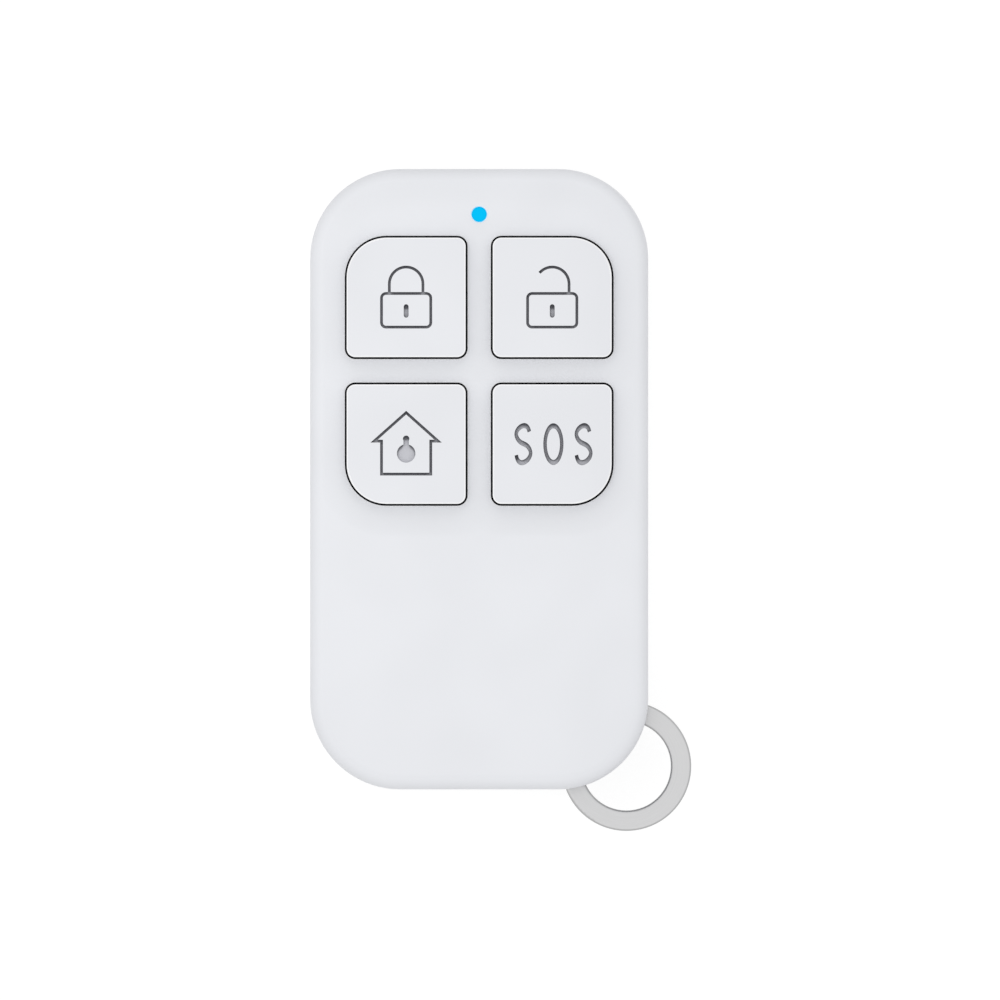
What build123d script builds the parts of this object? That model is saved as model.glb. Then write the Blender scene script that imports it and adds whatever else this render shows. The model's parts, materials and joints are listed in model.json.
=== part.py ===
from build123d import *
import math
import os

# The fob lies on its back: X across it, Y towards its lamp end, Z up out of its front face.
# The origin is the centre of the back face. Lengths are in millimetres, angles in degrees.

# Case
case_width = 31.6
case_length = 58.0
corner_radius = 8.4
front_edge_radius = 1.4
back_edge_radius = 1.2
side_wall = 1.5
back_wall = 1.2
front_wall = 1.4
parting_height = 4.6
seam_chamfer = 0.12
lip_thickness = 0.7
lip_height = 0.7
lip_gap = 0.06

# Heights stacked from the back face to the front face
cover_recess = 0.1
cover_thickness = 1.0
cell_float = 0.05
cell_thickness = 3.2
spring_space = 0.65
board_thickness = 0.8
switch_height = 0.8
plunger_reach = 0.3
nub_height = 0.35
web_thickness = 0.35
pedestal_height = 0.8
cap_recess_depth = 0.4
cap_reach = 0.2
key_proud = 0.8

# Keypad
keypad_from_end = 18.87
keypad_from_side = 3.42
key_space_x = 2.53
key_space_y = 2.55
cap_length = 11.16
cap_gap = 0.18
cap_outer_radius = 3.72
cap_inner_radius = 0.8
cap_edge_radius = 0.15
opening_chamfer = 0.08
pedestal_inset = 1.275
pedestal_radius = 1.2
pedestal_gap = 0.1
nub_radius = 1.0
flex_room = 0.18
mat_border = 0.5
peg_radius = 0.5
peg_length = 1.5
peg_gap = 0.1

# Signs cut in the keys
sign_depth = 0.35
sign_stroke = 0.26
lock_width = 4.6
lock_height = 3.14
lock_radius = 0.42
lock_drop = 1.21
shackle_radius = 1.57
shackle_rise = 1.26
open_shackle_arc = 139
slot_length = 1.25
slot_width = 0.45
slot_drop = 1.27
roof_rise = 2.94
eave_rise = 0.28
eave_half_width = 2.99
wall_half_width = 2.3
floor_drop = 2.8
keyhole_disc_radius = 0.86
keyhole_disc_drop = 0.87
keyhole_head_radius = 0.3
keyhole_head_rise = 0.5
keyhole_neck_width = 0.5
letter_stroke = 0.48
letter_squeeze = 0.68
letter_half_height = 1.71
letter_half_width = 0.68
round_letter_half_width = 0.78
letter_pitch = 2.81
letter_shift = 0.11

# Lamp
lamp_from_end = 4.25
pipe_radius = 0.685
pipe_gap = 0.02
pipe_flange_radius = 1.0
pipe_flange_height = 0.4
pipe_crown = 0.04
lamp_width = 1.25
lamp_length = 2.0
lamp_height = 0.75
lamp_gap = 0.15

# Battery and its screw-in cover
cell_from_end = 35.5
cell_radius = 10.0
cell_cap_inset = 1.2
cell_cap_height = 0.35
cell_edge_radius = 0.3
gasket_width = 0.6
gasket_height = 0.15
cell_side_gap = 0.15
cup_wall = 0.7
cup_gap = 0.1
cover_lap = 1.05
cover_side_gap = 0.1
cover_edge_radius = 0.2
ledge_thickness = 0.65
lug_reach = 0.95
lug_thickness = 0.5
lug_gap = 0.05
lug_side_gap = 0.1
lug_count = 3
lug_arc = 24
lug_play = 1.5
cover_turn = 40
roof_thickness = 0.6
well_wall = 0.8
well_gap = 0.2
well_height = 1.5
coin_slot_length = 13.0
coin_slot_width = 1.6
coin_slot_depth = 0.5
seal_radius = 0.22
seal_gap = 0.03
seal_groove_gap = 0.04
mark_radius = 0.35
mark_depth = 0.15
mark_spacing = 1.2

# Battery contacts
contact_thickness = 0.15
contact_width = 3.0
negative_foot_length = 1.2
negative_reach = 4.2
negative_flat_length = 1.8
positive_foot_length = 1.8
positive_stand_off = 0.5
positive_tail_length = 0.45
positive_drop = 1.25
contact_slot_gap = 0.4

# Circuit board and what is on it
board_gap = 0.3
board_from_end = 8.0
board_corner_radius = 1.0
rest_length = 2.0
rest_depth = 1.1
rest_from_centre = 4.5
rest_drop = 12.0
switch_size = 5.1
switch_corner_radius = 0.5
switch_plate_thickness = 0.15
switch_plate_margin = 0.2
switch_floor = 0.15
plunger_radius = 0.85
plunger_flange_radius = 1.15
plunger_flange_height = 0.17
plunger_gap = 0.1
plunger_lift = 0.03
chip_length = 4.9
chip_width = 3.9
chip_height = 1.4
chip_lead_count = 4
chip_lead_pitch = 1.27
transistor_length = 2.9
transistor_width = 1.3
transistor_height = 1.0
transistor_lead_pitch = 0.95
lead_width = 0.4
lead_thickness = 0.15
lead_reach = 1.05
lead_foot_length = 0.55
lead_height = 0.7
chip_float = 0.1
package_edge = 0.15
resonator_length = 5.0
resonator_width = 3.5
resonator_height = 1.3
resonator_radius = 0.4
passive_length = 1.6
passive_width = 0.8
resistor_height = 0.45
capacitor_height = 0.75
terminal_length = 0.35
terminal_wrap = 0.03
trace_width = 1.1
trace_thickness = 0.07
trace_from_edge = 1.4
trace_corner_radius = 1.5
row_gap = 0.6
passive_gap = 0.25
passive_rows = 3
passive_columns = 3
resistor_count = 4

# Case screws
screw_from_edge = 4.3
screw_length = 6.0
screw_radius = 0.75
thread_depth = 0.14
thread_pitch = 0.5
screw_plain_length = 2.2
screw_head_radius = 1.2
screw_head_height = 0.55
screw_head_recess = 0.15
screw_drive_width = 0.3
screw_drive_length = 1.4
screw_drive_depth = 0.3
screw_gap = 0.1
screw_bite_gap = 0.02
boss_radius = 1.5
boss_notch_gap = 0.25
pilot_spare = 0.3

# Key ring and the channel it runs in
ring_from_side = 2.02
ring_from_end = 2.14
ring_inner_radius = 4.17
ring_width = 1.9
turn_thickness = 0.9
turn_gap = 0.05
ring_edge_radius = 0.28
ring_jog_angle = 122
ring_jog_arc = 30
ring_end_arc = 5
jog_sections = 7
channel_gap = 0.3
channel_wall = 0.8
pin_from_ring = 2.2
pin_radius = 0.75
pin_height = 1.2
pin_gap = 0.05

# How far cuts run past a face
overrun = 0.5

# Levels worked out from the stack
cover_top = cover_recess + cover_thickness
cell_bottom = cover_top + cell_float
cell_top = cell_bottom + cell_thickness
board_bottom = cell_top + spring_space
board_top = board_bottom + board_thickness
switch_top = board_top + switch_height
plunger_top = switch_top + plunger_reach
web_bottom = plunger_top + nub_height
web_top = web_bottom + web_thickness
pedestal_top = web_top + pedestal_height
cap_bottom = pedestal_top - cap_recess_depth
wall_under = cap_bottom + cap_reach
case_height = wall_under + front_wall
cap_top = case_height + key_proud

# Places worked out from the case
keypad_y = case_length / 2 - keypad_from_end
cell_y = case_length / 2 - cell_from_end
lamp_y = case_length / 2 - lamp_from_end
board_end_y = board_from_end - case_length / 2
ring_x = case_width / 2 - ring_from_side
ring_y = ring_from_end - case_length / 2
ring_centre = (ring_x, ring_y)
screw_x = case_width / 2 - screw_from_edge
screw_y = case_length / 2 - screw_from_edge
screw_centres = [(-screw_x, screw_y), (screw_x, screw_y), (-screw_x, -screw_y)]

# Which side and which end of the keypad each key is on
keys = {"lock": (-1, 1), "unlock": (1, 1), "home": (-1, -1), "sos": (1, -1)}

# Sizes that follow from a fit
cap_width = (case_width - key_space_x) / 2 - keypad_from_side
key_pitch_x = cap_width + key_space_x
key_pitch_y = cap_length + key_space_y
pedestal_width = cap_width - 2 * pedestal_inset
pedestal_length = cap_length - 2 * pedestal_inset
flex_gap = cap_gap + flex_room
mat_width = key_pitch_x + cap_width + 2 * (flex_gap + mat_border)
mat_length = key_pitch_y + cap_length + 2 * (flex_gap + mat_border)
mat_radius = cap_outer_radius + flex_gap + mat_border
cell_cap_radius = cell_radius - cell_cap_inset
cup_inner_radius = cell_radius + cell_side_gap
cup_outer_radius = cup_inner_radius + cup_wall
ledge_radius = cup_outer_radius + cup_gap
lug_radius = cup_outer_radius + lug_reach
pocket_radius = lug_radius + lug_side_gap
cover_radius = ledge_radius + cover_lap
counterbore_radius = cover_radius + cover_side_gap
well_radius = cell_radius + well_gap
ledge_bottom = cover_top + lug_gap
ledge_top = ledge_bottom + ledge_thickness
lug_bottom = ledge_top + lug_gap
lug_top = lug_bottom + lug_thickness
roof_bottom = lug_top + lug_gap
roof_top = roof_bottom + roof_thickness
rim_radius = counterbore_radius + well_wall
channel_inner_radius = ring_inner_radius - channel_gap
channel_outer_radius = ring_inner_radius + ring_width + channel_gap
channel_depth = turn_thickness + turn_gap / 2 + channel_gap
corner_block_radius = channel_outer_radius + channel_wall
screw_seat = screw_head_recess + screw_head_height
screw_tip = screw_seat + screw_length


def case_plate(inset):
    """The outline of the case, drawn in by the same amount all round."""
    with BuildSketch() as plate:
        RectangleRounded(
            case_width - 2 * inset, case_length - 2 * inset, corner_radius - inset
        )
    return plate.sketch


def key_plate(grow, side, end):
    """The outline of a key, grown all round, with one large corner at the keypad's own corner."""
    with BuildSketch() as plate:
        Rectangle(cap_width + 2 * grow, cap_length + 2 * grow)
        corner = (side * cap_width, end * cap_length)
        fillet(plate.vertices().sort_by_distance(corner)[1:], cap_inner_radius + grow)
        fillet(plate.vertices().sort_by_distance(corner)[0], cap_outer_radius + grow)
    return plate.sketch


def key_plane(side, end, height):
    """A level plane over the centre of one key."""
    return Plane(origin=(side * key_pitch_x / 2, keypad_y + end * key_pitch_y / 2, height))


def cell_plane(height):
    """A level plane over the centre of the battery."""
    return Plane(origin=(0, cell_y, height))


def ring_sector(inner, outer, start, arc):
    """A piece of a flat ring, from a start angle through an arc."""
    with BuildSketch() as sector:
        with BuildLine():
            far = CenterArc((0, 0), outer, start, arc)
            near = CenterArc((0, 0), inner, start, arc)
            Line(far @ 0, near @ 0)
            Line(far @ 1, near @ 1)
        make_face()
    return sector.sketch


def lug_starts():
    """The angle at which each of the cover's lugs starts, with the cover locked."""
    return [90 + lug * 360 / lug_count - lug_arc / 2 for lug in range(lug_count)]


# Signs

def padlock(shackle_arc):
    """Outline of a padlock, its keyhole slot, and its shackle as far round as the arc goes."""
    body_top = lock_height / 2 - lock_drop
    with BuildSketch() as sign:
        with Locations((0, -lock_drop)):
            RectangleRounded(
                lock_width + sign_stroke, lock_height + sign_stroke, lock_radius + sign_stroke / 2
            )
            RectangleRounded(
                lock_width - sign_stroke,
                lock_height - sign_stroke,
                lock_radius - sign_stroke / 2,
                mode=Mode.SUBTRACT,
            )
        with Locations((0, -slot_drop)):
            SlotOverall(slot_length, slot_width, rotation=90)
        with BuildLine():
            Line((shackle_radius, body_top), (shackle_radius, shackle_rise))
            CenterArc((0, shackle_rise), shackle_radius, 0, shackle_arc)
            if shackle_arc == 180:
                Line((-shackle_radius, shackle_rise), (-shackle_radius, body_top))
        trace(line_width=sign_stroke)
    return sign.sketch


def house_face(grow):
    """The filled shape of a house, grown or shrunk with sharp corners."""
    with BuildSketch() as face:
        with BuildLine():
            Polyline(
                (0, roof_rise),
                (eave_half_width, eave_rise),
                (wall_half_width, eave_rise),
                (wall_half_width, -floor_drop),
                (-wall_half_width, -floor_drop),
                (-wall_half_width, eave_rise),
                (-eave_half_width, eave_rise),
                close=True,
            )
        make_face()
        offset(amount=grow, kind=Kind.INTERSECTION)
    return face.sketch


def house():
    """Outline of a house with a keyhole in it."""
    with BuildSketch() as sign:
        add(house_face(sign_stroke / 2))
        add(house_face(-sign_stroke / 2), mode=Mode.SUBTRACT)
        with Locations((0, -keyhole_disc_drop)):
            Circle(keyhole_disc_radius)
        with Locations((0, keyhole_head_rise)):
            Circle(keyhole_head_radius)
        with Locations((0, (keyhole_head_rise - keyhole_disc_drop) / 2)):
            Rectangle(keyhole_neck_width, keyhole_head_rise + keyhole_disc_drop)
    return sign.sketch


def letter_s():
    """A plain letter S, squeezed from its full width."""
    point_shares = [
        (0.83, 0.68),
        (-0.08, 1.0),
        (-0.98, 0.54),
        (-0.45, 0.13),
        (0.54, -0.1),
        (1.0, -0.46),
        (0.02, -1.0),
        (-0.97, -0.6),
    ]
    full_half_width = letter_half_width / letter_squeeze
    points = [(x * full_half_width, y * letter_half_height) for x, y in point_shares]
    with BuildSketch() as full:
        with BuildLine():
            Spline(*points)
        trace(line_width=letter_stroke)
    with BuildSketch() as letter:
        with BuildLine():
            add(scale(full.wire(), by=(letter_squeeze, 1, 1), mode=Mode.PRIVATE))
        make_face()
    return letter.sketch


def letter_o():
    """A plain letter O, squeezed from its full width."""
    side = letter_squeeze * letter_stroke / 2
    end = letter_stroke / 2
    with BuildSketch() as letter:
        Ellipse(round_letter_half_width + side, letter_half_height + end)
        Ellipse(
            round_letter_half_width - side, letter_half_height - end, mode=Mode.SUBTRACT
        )
    return letter.sketch


def call_for_help():
    """The general call for help in plain letters."""
    with BuildSketch() as sign:
        with Locations((letter_shift - letter_pitch, 0), (letter_shift + letter_pitch, 0)):
            add(letter_s())
        with Locations((letter_shift, 0)):
            add(letter_o())
    return sign.sketch


signs = {
    "lock": padlock(180),
    "unlock": padlock(open_shackle_arc),
    "home": house(),
    "sos": call_for_help(),
}


# Back shell

lip_inset = side_wall - lip_thickness
pin_angle = math.atan2(
    corner_radius - case_length / 2 - ring_y, case_width / 2 - corner_radius - ring_x
)
pin_centre = (
    ring_x + pin_from_ring * math.cos(pin_angle),
    ring_y + pin_from_ring * math.sin(pin_angle),
)
side_rest_x = case_width / 2 - side_wall
side_rest_y = keypad_y - key_pitch_y / 2 - rest_drop
end_rest_y = case_length / 2 - side_wall


def rest_sketch(depth):
    """Two ribs on the side walls and two on the lamp end, where the board is held by its edge."""
    with BuildSketch() as rests:
        with Locations((-side_rest_x, side_rest_y), (side_rest_x, side_rest_y)):
            Rectangle(2 * depth, rest_length)
        with Locations((-rest_from_centre, end_rest_y), (rest_from_centre, end_rest_y)):
            Rectangle(rest_length, 2 * depth)
        add(case_plate(lip_inset), mode=Mode.INTERSECT)
    return rests.sketch


def corner_block_sketch():
    """The solid corner that the key ring's channel is cut in."""
    with BuildSketch() as block:
        add(case_plate(side_wall / 2))
        with Locations(ring_centre):
            Circle(corner_block_radius, mode=Mode.INTERSECT)
    return block.sketch


def channel_sketch():
    """The ring-shaped channel around the corner pillar."""
    with BuildSketch() as channel:
        with Locations(ring_centre):
            Circle(channel_outer_radius)
            Circle(channel_inner_radius, mode=Mode.SUBTRACT)
    return channel.sketch


with BuildPart() as back_shell:
    with BuildSketch():
        add(case_plate(0))
    extrude(amount=parting_height)
    fillet(back_shell.faces().sort_by(Axis.Z)[0].edges(), back_edge_radius)
    chamfer(back_shell.faces().sort_by(Axis.Z)[-1].edges(), seam_chamfer)
    with BuildSketch(Plane.XY.offset(back_wall)):
        add(case_plate(side_wall))
    extrude(amount=parting_height, mode=Mode.SUBTRACT)
    # Lip that locates the front shell
    with BuildSketch(Plane.XY.offset(parting_height)):
        add(case_plate(lip_inset))
        add(case_plate(side_wall), mode=Mode.SUBTRACT)
    extrude(amount=lip_height)
    # Corner block, its channel, and the pin on top of its pillar
    with BuildSketch(Plane.XY.offset(back_wall)):
        add(corner_block_sketch())
    extrude(amount=parting_height - back_wall)
    with BuildSketch(Plane.XY.offset(parting_height)):
        with Locations(ring_centre):
            Circle(corner_block_radius + lip_gap)
    extrude(amount=lip_height + overrun, mode=Mode.SUBTRACT)
    with BuildSketch(Plane.XY.offset(parting_height - channel_depth)):
        add(channel_sketch())
    extrude(amount=channel_depth + overrun, mode=Mode.SUBTRACT)
    with BuildSketch(Plane.XY.offset(parting_height)):
        with Locations(pin_centre):
            Circle(pin_radius)
    extrude(amount=pin_height)
    # Board rests
    with BuildSketch(Plane.XY.offset(back_wall)):
        add(rest_sketch(rest_depth))
    extrude(amount=board_bottom - back_wall)
    # Battery well with its rim
    with BuildSketch(cell_plane(0)):
        Circle(rim_radius)
    extrude(amount=roof_top)
    with BuildSketch(cell_plane(roof_top)):
        Circle(well_radius + well_wall)
    extrude(amount=well_height)
    with BuildSketch(cell_plane(0)):
        Circle(counterbore_radius)
    extrude(amount=ledge_bottom, mode=Mode.SUBTRACT)
    with BuildSketch(cell_plane(0)):
        Circle(ledge_radius)
    extrude(amount=roof_bottom, mode=Mode.SUBTRACT)
    with BuildSketch(cell_plane(0)):
        Circle(well_radius)
    extrude(amount=roof_top + well_height + overrun, mode=Mode.SUBTRACT)
    # Pockets the cover's lugs turn in, and the notches they enter by
    with BuildSketch(cell_plane(ledge_top)):
        for lug_start in lug_starts():
            pocket_start = lug_start - cover_turn - lug_play
            add(ring_sector(well_radius, pocket_radius, pocket_start, cover_turn + lug_arc + 2 * lug_play))
    extrude(amount=roof_bottom - ledge_top, mode=Mode.SUBTRACT)
    with BuildSketch(cell_plane(0)):
        for lug_start in lug_starts():
            notch_start = lug_start - cover_turn - lug_play
            add(ring_sector(well_radius, pocket_radius, notch_start, lug_arc + 2 * lug_play))
    extrude(amount=ledge_top, mode=Mode.SUBTRACT)
    # Slot for the contact that touches the battery's side
    with BuildSketch(cell_plane(roof_top)):
        with Locations((well_radius + well_wall / 2, 0)):
            Rectangle(2 * well_wall, contact_width + 2 * contact_slot_gap)
    extrude(amount=well_height + overrun, mode=Mode.SUBTRACT)
    # Screw posts, which stay clear of the front shell's wall where they rise above the parting
    with BuildSketch(Plane.XY.offset(back_wall)):
        with Locations(*screw_centres):
            Circle(boss_radius)
    extrude(amount=parting_height - back_wall)
    with BuildSketch(Plane.XY.offset(parting_height)):
        with Locations(*screw_centres):
            Circle(boss_radius)
        add(case_plate(side_wall + lip_gap), mode=Mode.INTERSECT)
    extrude(amount=board_top - parting_height)
    with BuildSketch():
        with Locations(*screw_centres):
            Circle(screw_radius + screw_gap)
    extrude(amount=board_top + overrun, mode=Mode.SUBTRACT)
    with BuildSketch():
        with Locations(*screw_centres):
            Circle(screw_head_radius + screw_gap)
    extrude(amount=screw_seat, mode=Mode.SUBTRACT)
    # Dots that show the cover's locked and open places
    with BuildSketch(cell_plane(0)):
        for turned in (0, -cover_turn):
            with PolarLocations(counterbore_radius + mark_spacing, 1, start_angle=90 + turned):
                Circle(mark_radius)
    extrude(amount=mark_depth, mode=Mode.SUBTRACT)
back_shell.part.label = "back_shell"


# Front shell

with BuildPart() as front_shell:
    with BuildSketch(Plane.XY.offset(parting_height)):
        add(case_plate(0))
    extrude(amount=case_height - parting_height)
    fillet(front_shell.faces().sort_by(Axis.Z)[-1].edges(), front_edge_radius)
    chamfer(front_shell.faces().sort_by(Axis.Z)[0].edges(), seam_chamfer)
    with BuildSketch(Plane.XY.offset(parting_height)):
        add(case_plate(side_wall))
    extrude(amount=wall_under - parting_height, mode=Mode.SUBTRACT)
    # Step that takes the back shell's lip
    with BuildSketch(Plane.XY.offset(parting_height)):
        add(case_plate(lip_inset - lip_gap))
    extrude(amount=lip_height + lip_gap, mode=Mode.SUBTRACT)
    # Corner block, its channel, and the socket for the pin
    with BuildSketch(Plane.XY.offset(parting_height)):
        add(corner_block_sketch())
    extrude(amount=wall_under - parting_height)
    with BuildSketch(Plane.XY.offset(parting_height)):
        add(channel_sketch())
    extrude(amount=channel_depth, mode=Mode.SUBTRACT)
    with BuildSketch(Plane.XY.offset(parting_height)):
        with Locations(pin_centre):
            Circle(pin_radius + pin_gap)
    extrude(amount=pin_height + pin_gap, mode=Mode.SUBTRACT)
    # Ribs that hold the board down on its rests
    with BuildSketch(Plane.XY.offset(board_top)):
        add(rest_sketch(rest_depth))
    extrude(amount=wall_under - board_top)
    # Screw posts
    with BuildSketch(Plane.XY.offset(board_top)):
        with Locations(*screw_centres):
            Circle(boss_radius)
    extrude(amount=wall_under - board_top)
    with BuildSketch(Plane.XY.offset(board_top)):
        with Locations(*screw_centres):
            Circle(screw_radius + screw_bite_gap)
    extrude(amount=screw_tip + pilot_spare - board_top, mode=Mode.SUBTRACT)
    # Pegs between the keys that locate the mat
    with BuildSketch(Plane.XY.offset(wall_under)):
        with Locations((0, keypad_y)):
            with GridLocations(0, key_pitch_y / 2, 1, 3):
                Circle(peg_radius)
    extrude(amount=-peg_length)
    # Key openings and lamp hole
    for side, end in keys.values():
        with BuildSketch(key_plane(side, end, wall_under)):
            add(key_plate(cap_gap, side, end))
        extrude(amount=front_wall, mode=Mode.SUBTRACT)
    with BuildSketch(Plane(origin=(0, lamp_y, wall_under))):
        Circle(pipe_radius + pipe_gap)
    extrude(amount=front_wall, mode=Mode.SUBTRACT)
    openings = front_shell.faces().sort_by(Axis.Z)[-1].inner_wires()
    chamfer([edge for opening in openings for edge in opening.edges()], opening_chamfer)
front_shell.part.label = "front_shell"


# Keys

def make_key(name, side, end):
    """One key cap, hollowed underneath for the mat's pedestal, with its sign cut in the top."""
    with BuildPart() as cap:
        with BuildSketch(key_plane(side, end, cap_bottom)):
            add(key_plate(0, side, end))
        extrude(amount=cap_top - cap_bottom)
        fillet(cap.faces().sort_by(Axis.Z)[-1].edges(), cap_edge_radius)
        with BuildSketch(key_plane(side, end, cap_bottom)):
            RectangleRounded(
                pedestal_width + 2 * pedestal_gap,
                pedestal_length + 2 * pedestal_gap,
                pedestal_radius + pedestal_gap,
            )
        extrude(amount=cap_recess_depth, mode=Mode.SUBTRACT)
        with BuildSketch(key_plane(side, end, cap_top)):
            add(signs[name])
        extrude(amount=-sign_depth, mode=Mode.SUBTRACT)
    cap.part.label = name + "_key"
    return cap.part


key_caps = [make_key(name, side, end) for name, (side, end) in keys.items()]


# Rubber mat under the keys

with BuildPart() as key_mat:
    with BuildSketch(Plane(origin=(0, keypad_y, board_top))):
        RectangleRounded(mat_width, mat_length, mat_radius)
    extrude(amount=wall_under - board_top)
    for side, end in keys.values():
        flex_cell = key_plate(flex_gap, side, end)
        with BuildSketch(key_plane(side, end, board_top)):
            add(flex_cell)
        extrude(amount=web_bottom - board_top, mode=Mode.SUBTRACT)
        with BuildSketch(key_plane(side, end, web_top)):
            add(flex_cell)
        extrude(amount=wall_under - web_top, mode=Mode.SUBTRACT)
        with BuildSketch(key_plane(side, end, web_top)):
            RectangleRounded(pedestal_width, pedestal_length, pedestal_radius)
        extrude(amount=pedestal_height)
        with BuildSketch(key_plane(side, end, plunger_top)):
            Circle(nub_radius)
        extrude(amount=nub_height)
    with BuildSketch(Plane(origin=(0, keypad_y, wall_under))):
        with GridLocations(0, key_pitch_y / 2, 1, 3):
            Circle(peg_radius + peg_gap)
    extrude(amount=-peg_length - peg_gap, mode=Mode.SUBTRACT)
key_mat.part.label = "key_mat"


# Lamp on the board and the clear pipe that carries its light to the front face

with BuildPart() as light_pipe:
    with BuildSketch(Plane(origin=(0, lamp_y, board_top + lamp_height + lamp_gap))):
        Circle(pipe_radius)
    extrude(amount=case_height + pipe_crown - board_top - lamp_height - lamp_gap)
    fillet(light_pipe.faces().sort_by(Axis.Z)[-1].edges(), pipe_crown)
    with BuildSketch(Plane(origin=(0, lamp_y, wall_under))):
        Circle(pipe_flange_radius)
    extrude(amount=-pipe_flange_height)
light_pipe.part.label = "light_pipe"

with BuildPart() as indicator_lamp:
    with BuildSketch(Plane(origin=(0, lamp_y, board_top))):
        Rectangle(lamp_length, lamp_width)
    extrude(amount=lamp_height)
    fillet(indicator_lamp.faces().sort_by(Axis.Z)[-1].edges(), package_edge)
indicator_lamp.part.label = "indicator_lamp"


# Circuit board

with BuildPart() as circuit_board:
    with BuildSketch(Plane.XY.offset(board_bottom)):
        add(case_plate(side_wall + board_gap))
        with Locations((0, board_end_y)):
            Rectangle(case_width, case_length, align=(Align.CENTER, Align.MIN), mode=Mode.INTERSECT)
        with Locations(*screw_centres):
            Circle(boss_radius + boss_notch_gap, mode=Mode.SUBTRACT)
        with Locations(ring_centre):
            Circle(corner_block_radius + board_gap, mode=Mode.SUBTRACT)
    extrude(amount=board_thickness)
    fillet(circuit_board.edges().filter_by(Axis.Z).group_by(Axis.Y)[0], board_corner_radius)
circuit_board.part.label = "circuit_board"


# Switches: a base with a well, a steel plate over it, and the plunger that the plate holds in

def make_switch_base(name, side, end):
    with BuildPart() as base:
        with BuildSketch(key_plane(side, end, board_top)):
            RectangleRounded(switch_size, switch_size, switch_corner_radius)
        extrude(amount=switch_height - switch_plate_thickness)
        with BuildSketch(key_plane(side, end, board_top + switch_floor)):
            Circle(plunger_flange_radius + plunger_gap)
        extrude(amount=switch_height, mode=Mode.SUBTRACT)
    base.part.label = name + "_switch_base"
    return base.part


def make_switch_plate(name, side, end):
    plate_size = switch_size - 2 * switch_plate_margin
    with BuildPart() as plate:
        with BuildSketch(key_plane(side, end, switch_top)):
            RectangleRounded(plate_size, plate_size, switch_corner_radius)
            Circle(plunger_radius + plunger_gap, mode=Mode.SUBTRACT)
        extrude(amount=-switch_plate_thickness)
    plate.part.label = name + "_switch_plate"
    return plate.part


def make_plunger(name, side, end):
    flange_top = switch_top - switch_plate_thickness - plunger_lift
    with BuildPart() as plunger:
        with BuildSketch(key_plane(side, end, flange_top)):
            Circle(plunger_flange_radius)
        extrude(amount=-plunger_flange_height)
        with BuildSketch(key_plane(side, end, flange_top)):
            Circle(plunger_radius)
        extrude(amount=plunger_top - flange_top)
    plunger.part.label = name + "_plunger"
    return plunger.part


switch_pieces = [
    make(name, side, end)
    for name, (side, end) in keys.items()
    for make in (make_switch_base, make_switch_plate, make_plunger)
]


# Parts on the free end of the board, spread along one row under the mat

free_top_y = keypad_y - mat_length / 2
trace_x = case_width / 2 - side_wall - board_gap - trace_from_edge
row_top = free_top_y - row_gap
row_half_width = trace_x - trace_width / 2 - row_gap
row_widths = {
    "resonator": resonator_width,
    "encoder_chip": chip_width + 2 * lead_reach,
    "passives": passive_columns * passive_width + (passive_columns - 1) * passive_gap,
    "transistor": transistor_width + 2 * lead_reach,
}
row_space = (2 * row_half_width - sum(row_widths.values())) / (len(row_widths) - 1)

row_centres = {}
row_x = -row_half_width
for name, width in row_widths.items():
    row_centres[name] = row_x + width / 2
    row_x += width + row_space

chip_place = (row_centres["encoder_chip"], row_top - chip_length / 2)
transistor_place = (row_centres["transistor"], row_top - transistor_length / 2)
resonator_place = (row_centres["resonator"], row_top - resonator_length / 2)
passive_places = [
    (
        row_centres["passives"] + (column - (passive_columns - 1) / 2) * (passive_width + passive_gap),
        row_top - passive_length / 2 - row * (passive_length + passive_gap),
    )
    for column in range(passive_columns)
    for row in range(passive_rows)
]
resistor_places = passive_places[:resistor_count]
capacitor_places = passive_places[resistor_count:]


def make_package(name, place, length, width, height, lift, edge):
    """A moulded or capped package with softened top edges."""
    with BuildPart() as package:
        with BuildSketch(Plane(origin=(*place, board_top + lift))):
            Rectangle(width, length)
        extrude(amount=height)
        fillet(package.faces().sort_by(Axis.Z)[-1].edges(), edge)
    package.part.label = name
    return package.part


encoder_chip = make_package(
    "encoder_chip", chip_place, chip_length, chip_width, chip_height, chip_float, package_edge
)
transistor = make_package(
    "transistor",
    transistor_place,
    transistor_length,
    transistor_width,
    transistor_height,
    chip_float,
    package_edge,
)
resonator = make_package(
    "resonator",
    resonator_place,
    resonator_length,
    resonator_width,
    resonator_height,
    0,
    resonator_radius,
)


def make_lead(place, along, out_from, facing):
    """One bent lead, from the package's side down to its foot on the board."""
    centre_x, centre_y = place
    lead_plane = Plane(
        origin=(centre_x + facing * out_from, centre_y + along, board_top),
        x_dir=(facing, 0, 0),
        z_dir=(0, -facing, 0),
    )
    half_thickness = lead_thickness / 2
    with BuildPart() as lead:
        with BuildSketch(lead_plane):
            with BuildLine():
                Polyline(
                    (0, lead_height),
                    ((lead_reach - lead_foot_length) / 2, lead_height),
                    (lead_reach - lead_foot_length, half_thickness),
                    (lead_reach, half_thickness),
                )
            trace(line_width=lead_thickness)
        extrude(amount=lead_width / 2, both=True)
    return lead.part


chip_steps = [step - (chip_lead_count - 1) / 2 for step in range(chip_lead_count)]
leads = [
    make_lead(chip_place, step * chip_lead_pitch, chip_width / 2, facing)
    for step in chip_steps
    for facing in (-1, 1)
]
leads += [
    make_lead(transistor_place, step * transistor_lead_pitch, transistor_width / 2, -1)
    for step in (-1, 1)
]
leads.append(make_lead(transistor_place, 0, transistor_width / 2, 1))
chip_leads = Compound(label="chip_leads", children=leads)


def make_bodies(name, places, height):
    """The bodies of a group of like passive parts."""
    with BuildPart() as bodies:
        for place in places:
            with BuildSketch(Plane(origin=(*place, board_top + terminal_wrap))):
                Rectangle(passive_width, passive_length - 2 * terminal_length)
            extrude(amount=height)
    bodies.part.label = name
    return bodies.part


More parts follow.
